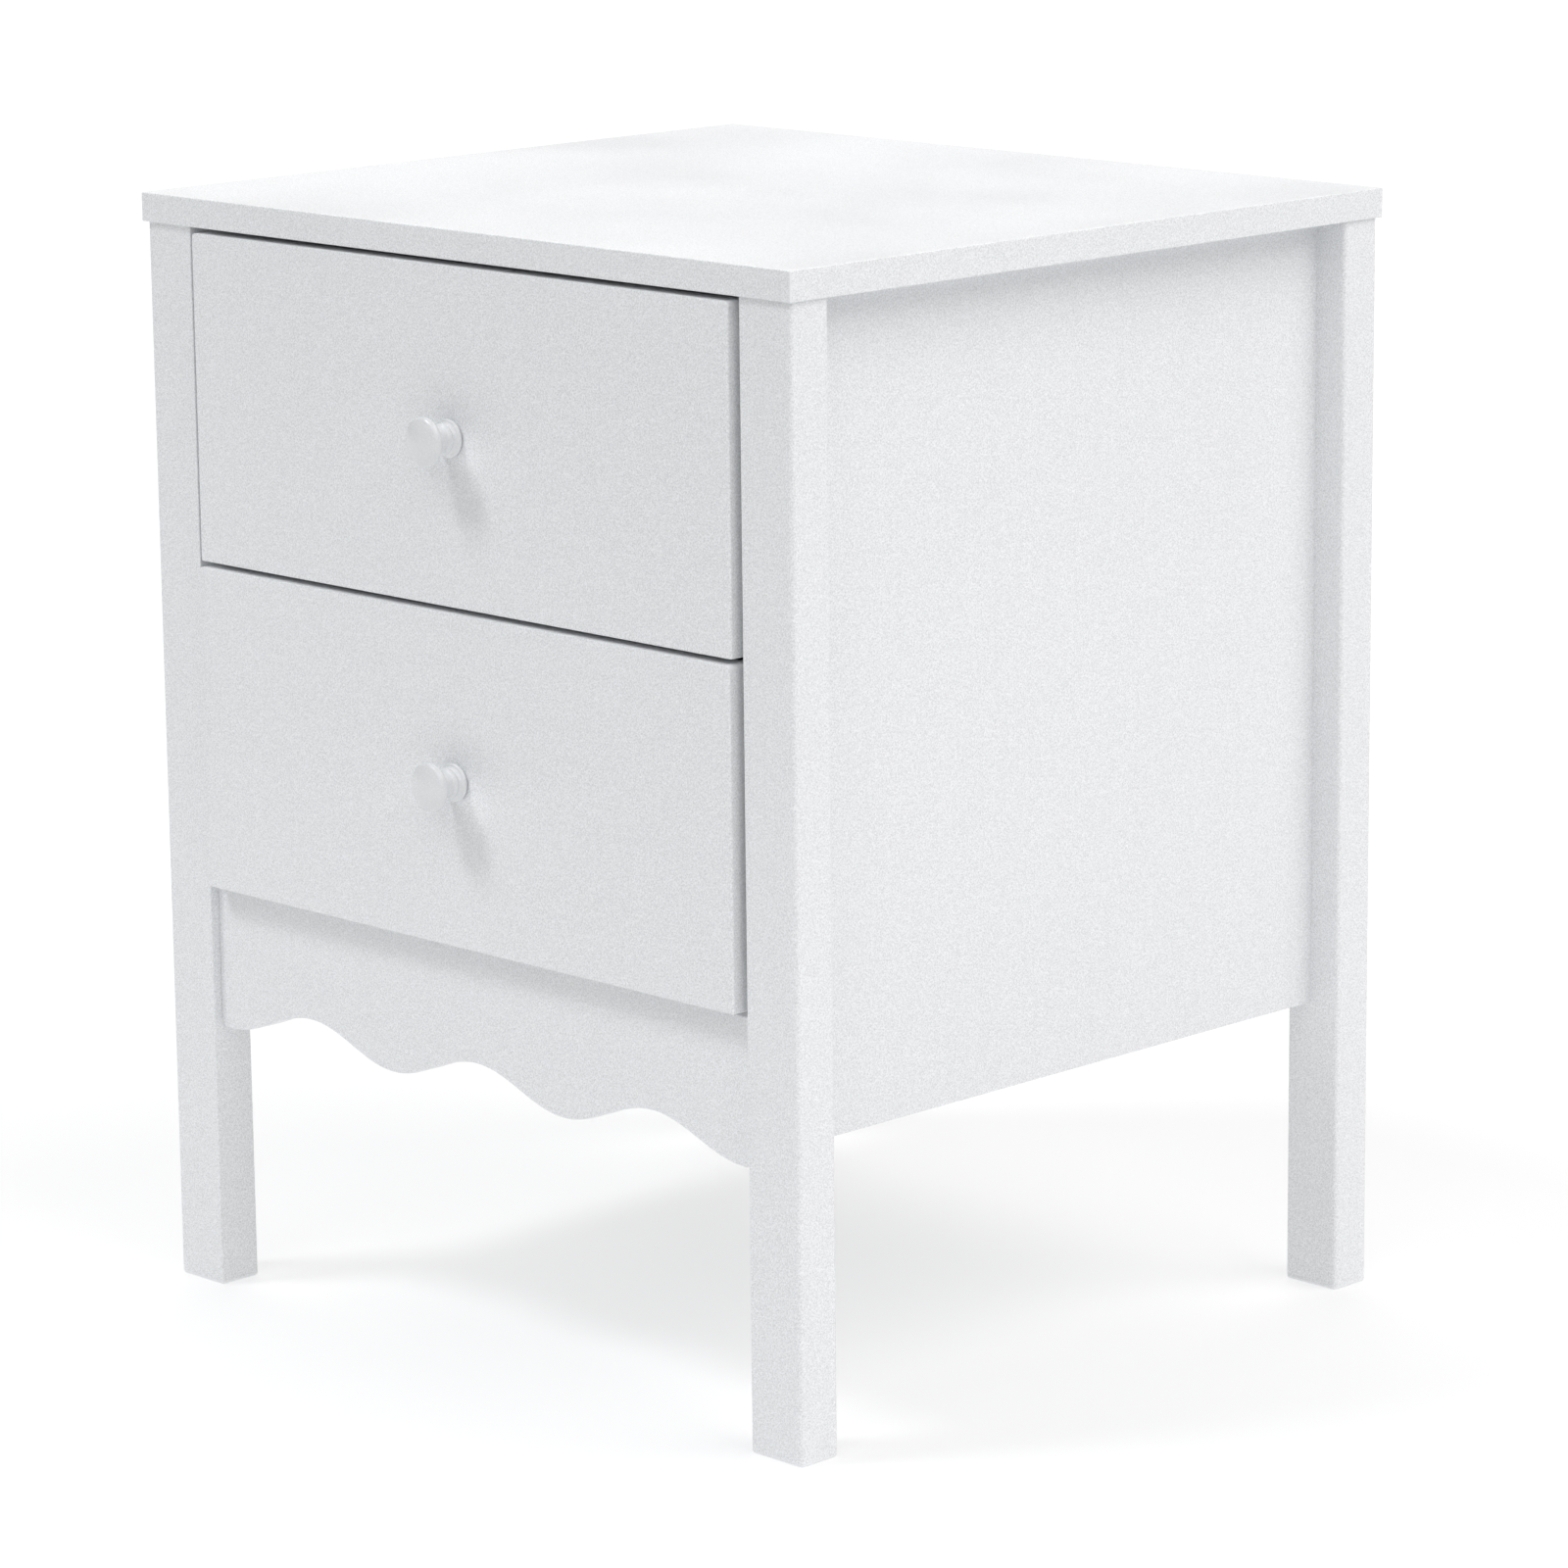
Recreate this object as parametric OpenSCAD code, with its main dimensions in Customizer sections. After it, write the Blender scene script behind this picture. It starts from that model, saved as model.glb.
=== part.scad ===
// Two-drawer nightstand with straight legs and a scalloped apron.
// Right-handed frame in millimetres: +Z up, the drawers open towards -Y,
// the origin is on the floor under the middle of the whole object.

/* [Overall] */
// Width of the top panel
top_w = 470; // [440:1:520]
// Depth of the top panel
top_d = 422; // [415:1:470]
// Height from the floor to the upper face of the top
total_h = 575; // [570:1:610]
// Thickness of the top panel
top_t = 15; // [12:1:22]
// Overhang of the top beyond the legs at each side
side_overhang = 2; // [1:0.5:12]
// Overhang of the top in front of the legs
front_overhang = 2; // [1:0.5:12]
// Overhang of the top behind the legs
rear_overhang = 2; // [1:0.5:12]

/* [Legs] */
// Width of a leg, seen from the front
leg_w = 34; // [30:0.5:45]
// Depth of a leg, seen from the side
leg_d = 25; // [24:0.5:40]
// Radius of the rounded leg edges
leg_r = 2.5; // [1:0.25:3]

/* [Panels] */
// Thickness of the side panels and rails
board_t = 15; // [15:1:18]
// How far a side panel lies inside the outer face of the legs
side_recess = 18.5; // [15:0.5:18.5]
// Height of the lower edge of the side panels above the floor
side_bottom = 152.5; // [120:0.5:160]
// Thickness of the back panel
back_t = 4; // [3:0.5:5]
// Radius of the eased panel edges
ease_r = 0.8; // [0.5:0.1:1.5]

/* [Apron] */
// Height of the apron's lowest points above the floor
apron_low = 140.3; // [120:0.1:150]
// Height difference between the apron's crests and low points
wave_rise = 16; // [6:0.5:22]
// Length of one wave
wave_len = 127; // [120:1:132]
// How far the apron lies behind the front face of the legs
apron_recess = 5; // [2:0.5:8]
// Radius of the apron's lower end corners
apron_corner = 3; // [1:0.5:5]

/* [Drawers] */
// Gap between a drawer front and the leg beside it
front_side_gap = 4.7; // [2:0.1:6]
// Gap above each drawer front
front_gap = 2.7; // [2:0.1:4]
// Height of each drawer front
front_h = 168.5; // [165:0.5:171]
// Thickness of a drawer front
front_t = 15; // [15:1:18]
// How far the drawer fronts stand out from the legs
front_proud = 3; // [0:0.5:4]
// Radius of the rounded drawer front edges
front_r = 2; // [1:0.25:3]
// Height of the drawer box
box_h = 125; // [110:1:130]
// Height of the drawer box's lower edge above that of its front
box_lift = 14; // [12:1:18]
// Depth of the drawer box behind its front
box_len = 364; // [364:1:370]
// Thickness of the drawer sides and back
box_t = 12; // [12:0.5:14]
// Thickness of the drawer bottom
bottom_t = 4; // [3:0.5:5]
// How far the lower drawer is left open
lower_open = 1.5; // [0:0.5:3]

/* [Knobs] */
// Diameter of the knob's head
knob_d = 24.8; // [22:0.1:27]
// Length of the knob
knob_len = 21.5; // [19.5:0.5:26]

/* [Slides] */
// Length of a drawer slide
slide_len = 350; // [350:1:352]
// Thickness of a pair of slide members
slide_t = 12.7; // [12.7:0.1:13]
// Height of a drawer slide
slide_h = 35; // [35:1:36]

/* [Hidden] */

$fn = 48;
paint = [0.93, 0.94, 0.95];
birch = [0.80, 0.66, 0.46];
hardboard = [0.90, 0.90, 0.88];
zinc = [0.72, 0.73, 0.74];

// Overlap used only where a cutting shape runs past a face
cut = 1;
// Clearance round a dowel, bolt, cam or screw in its own hole
hole_gap = 0.05;
// How much deeper a blind hole is than what it holds
hole_extra = 0.5;

// Heights
top_under = total_h - top_t;
front_step = front_h + front_gap;
upper_front_z = top_under - front_step;
lower_front_z = upper_front_z - front_step;
apron_top = lower_front_z - front_gap;

// Depths: the object reaches from the lower knob's tip to the rear edge of the top
total_d = knob_len + lower_open + front_proud - front_overhang + top_d;
y_rear = total_d / 2;
y_top_front = y_rear - top_d;
y_leg_front = y_top_front + front_overhang;
y_leg_rear = y_rear - rear_overhang;
y_side_front = y_leg_front + leg_d;
y_side_rear = y_leg_rear - leg_d;
side_len = y_side_rear - y_side_front;
y_front_face = y_leg_front - front_proud;
y_front_back = y_front_face + front_t;

// Widths
leg_out = top_w / 2 - side_overhang;
leg_in = leg_out - leg_w;
side_out = leg_out - side_recess;
side_in = side_out - board_t;
front_w = 2 * (leg_in - front_side_gap);
box_out = side_in - slide_t;
box_in = box_out - box_t;

// Rails
rail_w = 60;
rail_gap = 1.5;
y_rail_rear = y_side_rear + rail_gap;
y_back = y_rail_rear + board_t;
back_gap = 0.3;
rail_top_y = y_side_front;

// Dowels
dowel_r = 4;
dowel_len = 30;
thin_dowel_r = 3;
rail_dowel_len = 22;
rail_dowel_shift = 2;
rail_dowel_inset = 14;
top_dowel_drop = 5;
side_dowel_z = [side_bottom + 18, 345, top_under - 26];
top_dowel_y = [-95, 20, 160];
apron_dowel_z = [apron_top - 16, apron_top - 58];
rail_rear_dowel_dz = [9, 44];

// Cam fittings of the frame
cam_r = 7.5;
cam_depth = 12;
cam_inset = 34;
bolt_r = 3;
bolt_grip = 11;
bolt_stop = 0.2;
side_cam_z = [side_bottom + 55, top_under - 66];
top_cam_y = [-50, 95];

// Cam fittings of the drawers
small_cam_r = 6;
small_cam_depth = 9.5;
small_cam_inset = 24;
small_bolt_r = 2.5;
small_bolt_grip = 8;
drawer_cam_dz = [28, box_h - 26];

// Crossed driver recess, as shares of the radius of the head it is cut into
slot_length = 1.1;
slot_width = 0.2;
slot_depth = 0.3;

// Screws
screw_r = 1.9;
screw_head_r = 3.8;
screw_head_h = 2.2;
flat_head_h = 0.6;
screw_grip = 8;
pilot_depth = 9;
box_screw_grip = 18;
box_pilot_depth = 20;
back_screw_x = [-170, -57, 57, 170];
top_screw_x = [-150, 0, 150];
box_screw_dz = [20, box_h - 22];

// Drawer box details
groove_lift = 9;
groove_depth = 6;
groove_gap = 0.2;

// Drawer slides: two nested steel channels that run on two rows of balls
steel_t = 1.2;
ball_r = 2.5;
race_gap = 0.1;
race_wall = 1.3;
race_in = ball_r + race_gap;
race_out = race_in + race_wall;
race_web_gap = 0.1;
race_x = slide_t - race_out - steel_t - race_web_gap;
race_z = slide_h / 2 - race_out;
lip_gap = 0.8;
cage_t = 0.7;
cage_web_x = 2.4;
cage_flange = 3.6;
cage_len = 104;
ball_count = 5;
ball_pitch = 21;
y_slide = y_side_front + 0.5;
slide_lift = 45;
runner_screw_y = [16, 150, 320];
runner_screw_grip = 10;
slide_screw_y = [40, 180, 310];

// Knob: a short boss, a round-edged flange, a bead and a domed head. All of them are
// measured from the drawer front, and the boss holds the flange just clear of it.
knob_dome_h = 4.6;
knob_rim_r = 2.6;
knob_back_edge = 1.2;
knob_flare_r = 9;
knob_boss_r = 7.6;
knob_flange_r = 9.7;
knob_flange_t = 2.5;
knob_flange_at = 0.4;
knob_bead_edge = 8;
knob_bead_r = 2.1;
knob_bead_at = 6;
knob_neck_r = 6.4;
knob_hole_depth = 14;
knob_screw_free = 2;

// A box with every edge rounded
module soft_box(size, r) {
    inner = [size.x - 2 * r, size.y - 2 * r, size.z - 2 * r];
    translate([r, r, 0])
        cube([inner.x, inner.y, size.z]);
    translate([r, 0, r])
        cube([inner.x, size.y, inner.z]);
    translate([0, r, r])
        cube([size.x, inner.y, inner.z]);
    for (x = [r, size.x - r], y = [r, size.y - r])
        translate([x, y, r])
            cylinder(h = inner.z, r = r);
    for (x = [r, size.x - r], z = [r, size.z - r])
        translate([x, r, z])
            rotate([-90, 0, 0])
                cylinder(h = inner.y, r = r);
    for (y = [r, size.y - r], z = [r, size.z - r])
        translate([r, y, z])
            rotate([0, 90, 0])
                cylinder(h = inner.x, r = r);
    for (x = [r, size.x - r], y = [r, size.y - r], z = [r, size.z - r])
        translate([x, y, z])
            sphere(r = r);
}

// A rod along X, Y or Z that starts at p
module rod_x(p, h, r) {
    translate(p)
        rotate([0, 90, 0])
            cylinder(h = h, r = r);
}

module rod_y(p, h, r) {
    translate(p)
        rotate([-90, 0, 0])
            cylinder(h = h, r = r);
}

module rod_z(p, h, r) {
    translate(p)
        cylinder(h = h, r = r);
}

// Everything on the left is the mirror image of the right
module on_side(side) {
    if (side > 0)
        children();
    else
        mirror([1, 0, 0])
            children();
}

// Dowels and cam bolts across the joint between a side panel and a leg, at the front or rear
module side_joint_dowels(gap) {
    half = dowel_len / 2 + (gap > 0 ? hole_extra : 0);
    for (y = [y_side_front, y_side_rear], z = side_dowel_z)
        rod_y([side_in + board_t / 2, y - half, z], 2 * half, dowel_r + gap);
}

module side_joint_bolts(gap) {
    extra = gap > 0 ? hole_extra : 0;
    reach = cam_inset - cam_r - bolt_stop;
    for (z = side_cam_z) {
        rod_y([side_in + board_t / 2, y_side_front - bolt_grip - extra, z],
            bolt_grip + reach + 2 * extra, bolt_r + gap);
        rod_y([side_in + board_t / 2, y_side_rear - reach - extra, z],
            bolt_grip + reach + 2 * extra, bolt_r + gap);
    }
}

// Dowels and cam bolts between a side panel and the top
module top_joint_dowels(gap) {
    half = dowel_len / 2 + (gap > 0 ? hole_extra : 0);
    for (y = top_dowel_y)
        rod_z([side_in + board_t / 2, y, top_under - half - top_dowel_drop], 2 * half, dowel_r + gap);
}

module top_joint_bolts(gap) {
    extra = gap > 0 ? hole_extra : 0;
    reach = cam_inset - cam_r - bolt_stop;
    for (y = top_cam_y)
        rod_z([side_in + board_t / 2, y, top_under - reach - extra],
            bolt_grip + reach + 2 * extra, bolt_r + gap);
}

// Cams in the inner face of a side panel
module side_cams(gap) {
    reach = cam_depth + (gap > 0 ? cut : 0);
    for (y = [y_side_front + cam_inset, y_side_rear - cam_inset], z = side_cam_z)
        rod_x([side_in + cam_depth - reach, y, z], reach + gap, cam_r + gap);
    for (y = top_cam_y)
        rod_x([side_in + cam_depth - reach, y, top_under - cam_inset], reach + gap, cam_r + gap);
}

// Thin dowels between the legs and the apron and rear rails
module cross_dowels(gap) {
    half = dowel_len / 2 + (gap > 0 ? hole_extra : 0);
    for (z = apron_dowel_z)
        rod_x([leg_in - half, y_leg_front + apron_recess + board_t / 2, z],
            2 * half, thin_dowel_r + gap);
    for (z0 = [side_bottom, top_under - rail_w], dz = rail_rear_dowel_dz)
        rod_x([leg_in - half, y_rail_rear + board_t / 2, z0 + dz], 2 * half, thin_dowel_r + gap);
}

// Thin dowels between the side panels and the upper front rail
module rail_dowels(gap) {
    long = rail_dowel_len + (gap > 0 ? 2 * hole_extra : 0);
    for (y = [rail_top_y + rail_dowel_inset, rail_top_y + rail_w - rail_dowel_inset])
        rod_x([side_in - long / 2 - rail_dowel_shift, y, top_under - board_t / 2],
            long, thin_dowel_r + gap);
}

// Frame

module top_panel() {
    color(paint)
        difference() {
            translate([-top_w / 2, y_top_front, top_under])
                soft_box([top_w, top_d, top_t], ease_r);
            for (side = [-1, 1])
                on_side(side) {
                    top_joint_dowels(hole_gap);
                    top_joint_bolts(hole_gap);
                }
            for (x = top_screw_x)
                rod_z([x, rail_top_y + rail_w / 2, top_under - cut],
                    pilot_depth + cut, screw_r + hole_gap);
        }
}

// The leg runs past the underside of the top and is cut off square there
module leg(side, y0) {
    color(paint)
        on_side(side)
            difference() {
                translate([leg_in, y0, 0])
                    soft_box([leg_w, leg_d, top_under + 2 * leg_r], leg_r);
                translate([leg_in - cut, y0 - cut, top_under])
                    cube([leg_w + 2 * cut, leg_d + 2 * cut, 3 * leg_r]);
                side_joint_dowels(hole_gap);
                side_joint_bolts(hole_gap);
                cross_dowels(hole_gap);
            }
}

module side_panel(side) {
    color(paint)
        on_side(side)
            difference() {
                translate([side_in, y_side_front, side_bottom])
                    cube([board_t, side_len, top_under - side_bottom]);
                side_joint_dowels(hole_gap);
                side_joint_bolts(hole_gap);
                top_joint_dowels(hole_gap);
                top_joint_bolts(hole_gap);
                side_cams(hole_gap);
                rail_dowels(hole_gap);
                runner_screw_holes();
            }
}

module runner_screw_holes() {
    for (z0 = [lower_front_z, upper_front_z], y = runner_screw_y)
        rod_x([side_in - cut, y_slide + y, z0 + box_lift + slide_lift],
            cut + runner_screw_grip + hole_extra, screw_r + hole_gap);
}

module back_panel() {
    color(hardboard)
        difference() {
            translate([back_gap - leg_in, y_back, side_bottom])
                cube([2 * (leg_in - back_gap), back_t, top_under - side_bottom]);
            back_screw_places()
                rod_y([0, -cut, 0], back_t + 2 * cut, screw_r + hole_gap);
        }
}

// The apron's lower edge: three whole waves, then a short flat and a rounded corner at each end
module apron_front() {
    steps = 96;
    wave_edge = wave_len * 1.5;
    corner_x = leg_in - apron_corner;
    lower = [
        for (i = [0 : steps])
            let (x = wave_edge * (2 * i / steps - 1))
                [x, apron_low + wave_rise / 2 * (1 + cos(360 * x / wave_len))]
    ];
    right_corner = [
        for (a = [0 : 15 : 90])
            [corner_x + apron_corner * sin(a), apron_low + apron_corner * (1 - cos(a))]
    ];
    left_corner = [
        for (a = [90 : -15 : 0])
            [-corner_x - apron_corner * sin(a), apron_low + apron_corner * (1 - cos(a))]
    ];
    color(paint)
        difference() {
            translate([0, y_leg_front + apron_recess + board_t, 0])
                rotate([90, 0, 0])
                    linear_extrude(board_t)
                        polygon(concat(
                            left_corner, lower, right_corner,
                            [[leg_in, apron_top], [-leg_in, apron_top]]));
            for (side = [-1, 1])
                on_side(side)
                    cross_dowels(hole_gap);
        }
}

module rail_top_front() {
    color(paint)
        difference() {
            translate([-side_in, rail_top_y, top_under - board_t])
                cube([2 * side_in, rail_w, board_t]);
            for (side = [-1, 1])
                on_side(side)
                    rail_dowels(hole_gap);
            for (x = top_screw_x)
                rod_z([x, rail_top_y + rail_w / 2, top_under - board_t - cut],
                    board_t + 2 * cut, screw_r + hole_gap);
        }
}

module rail_rear(z0) {
    color(paint)
        difference() {
            translate([-leg_in, y_rail_rear, z0])
                cube([2 * leg_in, board_t, rail_w]);
            for (side = [-1, 1])
                on_side(side)
                    cross_dowels(hole_gap);
            back_screw_places()
                rod_y([0, -pilot_depth, 0], pilot_depth + cut, screw_r + hole_gap);
        }
}

module rail_top_rear() {
    rail_rear(top_under - rail_w);
}

module rail_bottom_rear() {
    rail_rear(side_bottom);
}

// Fasteners of the frame

module frame_dowels() {
    color(birch)
        for (side = [-1, 1])
            on_side(side) {
                side_joint_dowels(0);
                top_joint_dowels(0);
                cross_dowels(0);
                rail_dowels(0);
            }
}

// Crossed recess in the end of a cam or screw that faces -X
module driver_slot(r) {
    for (turn = [0, 90])
        rotate([turn, 0, 0])
            translate([-cut, -r * slot_length / 2, -r * slot_width / 2])
                cube([r * slot_depth + cut, r * slot_length, r * slot_width]);
}

// A cam is a short drum with a crossed driver recess in its visible end
module cam_lock(r, depth) {
    difference() {
        rod_x([0, 0, 0], depth, r);
        driver_slot(r);
    }
}

module frame_cam_locks() {
    color(zinc)
        for (side = [-1, 1])
            on_side(side) {
                for (y = [y_side_front + cam_inset, y_side_rear - cam_inset], z = side_cam_z)
                    translate([side_in, y, z])
                        cam_lock(cam_r, cam_depth);
                for (y = top_cam_y)
                    translate([side_in, y, top_under - cam_inset])
                        cam_lock(cam_r, cam_depth);
            }
}

module frame_cam_bolts() {
    color(zinc)
        for (side = [-1, 1])
            on_side(side) {
                side_joint_bolts(0);
                top_joint_bolts(0);
            }
}

// A pan-head screw along +X with its head's underside at the origin
module pan_screw(length) {
    difference() {
        union() {
            rod_x([0, 0, 0], length, screw_r);
            rod_x([-screw_head_h, 0, 0], screw_head_h, screw_head_r);
        }
        translate([-screw_head_h, 0, 0])
            driver_slot(screw_head_r);
    }
}

module top_screws() {
    color(zinc)
        for (x = top_screw_x)
            translate([x, rail_top_y + rail_w / 2, top_under - board_t])
                rotate([0, -90, 0])
                    pan_screw(board_t + screw_grip);
}

module back_screw_places() {
    for (x = back_screw_x, z = [side_bottom + rail_w / 2, top_under - rail_w / 2])
        translate([x, y_back, z])
            children();
}

module back_panel_screws() {
    color(zinc)
        back_screw_places()
            translate([0, back_t, 0])
                rotate([0, 0, -90])
                    pan_screw(back_t + screw_grip);
}

// Drawer slides. Local frame of a slide: x = 0 on the side panel and growing towards the
// drawer, y = 0 at the front end, z = 0 at mid height.

module place_slide(side, z0) {
    on_side(side)
        translate([side_in, y_slide, z0 + box_lift + slide_lift])
            mirror([1, 0, 0])
                children();
}

// One curved race, the part of a ring above or below the middle of a ball
module race(up) {
    rotate([-90, 0, 0])
        difference() {
            cylinder(h = slide_len, r = race_out);
            translate([0, 0, -cut])
                cylinder(h = slide_len + 2 * cut, r = race_in);
            translate([-race_out - cut, up > 0 ? -lip_gap : -race_out - cut, -cut])
                cube([2 * race_out + 2 * cut, race_out + lip_gap + cut, slide_len + 2 * cut]);
        }
}

module runner_profile() {
    translate([0, 0, -slide_h / 2])
        cube([steel_t, slide_len, slide_h]);
    for (up = [-1, 1]) {
        translate([race_x, 0, up * race_z])
            race(up);
        translate([0, 0, up > 0 ? slide_h / 2 - race_wall : -slide_h / 2])
            cube([race_x, slide_len, race_wall]);
    }
}

module runner(side, z0) {
    color(zinc)
        place_slide(side, z0)
            difference() {
                runner_profile();
                for (y = runner_screw_y)
                    rod_x([-cut, y, 0], steel_t + 2 * cut, screw_r + hole_gap);
            }
}

module drawer_slide(side, z0) {
    web_h = 2 * (race_z - race_in);
    color(zinc)
        place_slide(side, z0)
            difference() {
                union() {
                    translate([slide_t - steel_t, 0, -web_h / 2])
                        cube([steel_t, slide_len, web_h]);
                    for (up = [-1, 1]) {
                        translate([race_x, 0, up * race_z])
                            race(-up);
                        translate([race_x, 0, up > 0 ? race_z - race_out : -race_z + race_in])
                            cube([slide_t - race_x, slide_len, race_wall]);
                    }
                }
                for (y = slide_screw_y)
                    rod_x([slide_t - steel_t - cut, y, 0], steel_t + 2 * cut, screw_r + hole_gap);
            }
}

module ball_places() {
    for (i = [0 : ball_count - 1], up = [-1, 1])
        translate([race_x, slide_len / 2 + (i - (ball_count - 1) / 2) * ball_pitch, up * race_z])
            children();
}

module ball_cage(side, z0) {
    color(zinc)
        place_slide(side, z0)
            difference() {
                translate([0, (slide_len - cage_len) / 2, -cage_t / 2]) {
                    translate([cage_web_x, 0, -race_z])
                        cube([cage_t, cage_len, 2 * race_z + cage_t]);
                    for (up = [-1, 1])
                        translate([cage_web_x, 0, up * race_z])
                            cube([race_x + cage_flange - cage_web_x, cage_len, cage_t]);
                }
                ball_places()
                    rod_z([0, 0, -cut], 2 * cut, ball_r + hole_gap);
            }
}

module balls(side, z0) {
    color(zinc)
        place_slide(side, z0)
            ball_places()
                sphere(r = ball_r);
}

module runner_screws() {
    color(zinc)
        for (side = [-1, 1], z0 = [lower_front_z, upper_front_z])
            place_slide(side, z0)
                for (y = runner_screw_y)
                    translate([steel_t, y, 0])
                        mirror([1, 0, 0]) {
                            rod_x([0, 0, 0], steel_t + runner_screw_grip, screw_r);
                            rod_x([-flat_head_h, 0, 0], flat_head_h, screw_head_r);
                        }
}

// Drawers

// The lower drawer is not pushed fully home, and its ball cages lag by half of that
module left_open(share) {
    translate([0, -share * lower_open, 0])
        children();
}

module drawer_cam_places(side, z0) {
    on_side(side)
        for (dz = drawer_cam_dz)
            translate([box_in, y_front_back + small_cam_inset, z0 + box_lift + dz])
                children();
}

module drawer_bolts(side, z0, gap) {
    extra = gap > 0 ? hole_extra : 0;
    reach = small_cam_inset - small_cam_r - bolt_stop;
    on_side(side)
        for (dz = drawer_cam_dz)
            rod_y([box_in + box_t / 2, y_front_back - small_bolt_grip - extra, z0 + box_lift + dz],
                small_bolt_grip + reach + 2 * extra, small_bolt_r + gap);
}

// Groove that holds the drawer bottom, cut into the front and the sides
module bottom_groove(z0) {
    translate([
        -box_in - groove_depth - groove_gap,
        y_front_back - groove_depth - groove_gap,
        z0 + box_lift + groove_lift - groove_gap
    ])
        cube([
            2 * (box_in + groove_depth + groove_gap),
            groove_depth + groove_gap + box_len + cut,
            bottom_t + 2 * groove_gap
        ]);
}

// A drawer front is rounded at its top and sides and cut off square at its lower edge
module drawer_front(z0) {
    color(paint)
        difference() {
            translate([-front_w / 2, y_front_face, z0 - 2 * front_r])
                soft_box([front_w, front_t, front_h + 2 * front_r], front_r);
            translate([-front_w / 2 - cut, y_front_face - cut, z0 - 3 * front_r])
                cube([front_w + 2 * cut, front_t + 2 * cut, 3 * front_r]);
            bottom_groove(z0);
            rod_y([0, y_front_face - cut, z0 + front_h / 2], front_t + 2 * cut, screw_r + hole_gap);
            for (side = [-1, 1])
                drawer_bolts(side, z0, hole_gap);
        }
}

module drawer_side(side, z0) {
    color(hardboard)
        difference() {
            on_side(side)
                translate([box_in, y_front_back, z0 + box_lift])
                    cube([box_t, box_len, box_h]);
            bottom_groove(z0);
            drawer_cam_places(side, z0)
                rod_x([-cut, 0, 0], small_cam_depth + cut + hole_gap, small_cam_r + hole_gap);
            drawer_bolts(side, z0, hole_gap);
            drawer_screw_places(side, z0)
                rod_x([-box_t - cut, 0, 0], box_t + 2 * cut, screw_r + hole_gap);
            slide_screw_places(side, z0)
                rod_x([-pilot_depth, 0, 0], pilot_depth + cut, screw_r + hole_gap);
        }
}

// Screws through the sides into the back, at the outer face of a side
module drawer_screw_places(side, z0) {
    on_side(side)
        for (dz = box_screw_dz)
            translate([box_out, y_front_back + box_len - box_t / 2, z0 + box_lift + dz])
                children();
}

module slide_screw_places(side, z0) {
    on_side(side)
        for (y = slide_screw_y)
            translate([box_out, y_slide + y, z0 + box_lift + slide_lift])
                children();
}

module drawer_back(z0) {
    back_z = z0 + box_lift + groove_lift + bottom_t + groove_gap;
    color(hardboard)
        difference() {
            translate([-box_in, y_front_back + box_len - box_t, back_z])
                cube([2 * box_in, box_t, z0 + box_lift + box_h - back_z]);
            for (side = [-1, 1])
                drawer_screw_places(side, z0)
                    rod_x([-box_t - box_pilot_depth, 0, 0], box_pilot_depth + cut, screw_r + hole_gap);
        }
}

module drawer_bottom(z0) {
    color(hardboard)
        translate([
            -box_in - groove_depth,
            y_front_back - groove_depth,
            z0 + box_lift + groove_lift
        ])
            cube([2 * (box_in + groove_depth), groove_depth + box_len, bottom_t]);
}

// Turned knob with its axis towards -Y
module knob(z0) {
    color(paint)
        translate([0, y_front_face, z0 + front_h / 2])
            rotate([90, 0, 0])
                difference() {
                    rotate_extrude($fn = 96)
                        knob_profile();
                    translate([0, 0, -cut])
                        cylinder(h = knob_hole_depth + cut, r = screw_r + hole_gap);
                }
}

// The head's dome runs smoothly into its rim, which is rounded less at the back
module knob_profile() {
    rim_at = knob_d / 2 - knob_rim_r;
    rise = knob_dome_h - knob_rim_r;
    dome_r = (rim_at * rim_at + rise * rise) / (2 * rise) + knob_rim_r;
    head_at = knob_len - knob_dome_h;
    joint_at = rim_at * dome_r / (dome_r - knob_rim_r);
    flange_edge = knob_flange_t / 2;
    back_edge_at = knob_d / 2 - knob_back_edge;
    head_back = head_at - knob_back_edge;
    square([knob_boss_r, knob_flange_at + knob_flange_t]);
    translate([0, knob_flange_at])
        square([knob_flange_r - flange_edge, knob_flange_t]);
    translate([knob_flange_r - flange_edge, knob_flange_at + flange_edge])
        circle(r = flange_edge);
    translate([knob_bead_edge - knob_bead_r, knob_bead_at])
        circle(r = knob_bead_r);
    square([knob_neck_r, head_back]);
    polygon([
        [0, head_back - knob_flare_r + knob_neck_r],
        [knob_neck_r, head_back - knob_flare_r + knob_neck_r],
        [knob_flare_r, head_back],
        [0, head_back]
    ]);
    translate([0, head_back])
        square([back_edge_at, knob_back_edge]);
    translate([back_edge_at, head_at])
        circle(r = knob_back_edge);
    intersection() {
        translate([rim_at, head_at])
            circle(r = knob_rim_r, $fn = 96);
        translate([0, head_at])
            square([knob_d, knob_dome_h]);
    }
    intersection() {
        translate([0, head_at])
            square([joint_at, knob_dome_h]);
        translate([0, head_at + knob_dome_h - dome_r])
            circle(r = dome_r, $fn = 192);
    }
}

module knob_screw(z0) {
    color(zinc)
        translate([0, y_front_back, z0 + front_h / 2])
            rotate([0, 0, -90])
                pan_screw(front_t + knob_hole_depth - knob_screw_free);
}

module drawer_slide_screws(z0) {
    color(zinc)
        for (side = [-1, 1])
            slide_screw_places(side, z0)
                translate([steel_t, 0, 0])
                    mirror([1, 0, 0])
                        pan_screw(steel_t + screw_grip);
}

module drawer_cam_locks(z0) {
    color(zinc)
        for (side = [-1, 1])
            drawer_cam_places(side, z0)
                cam_lock(small_cam_r, small_cam_depth);
}

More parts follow.
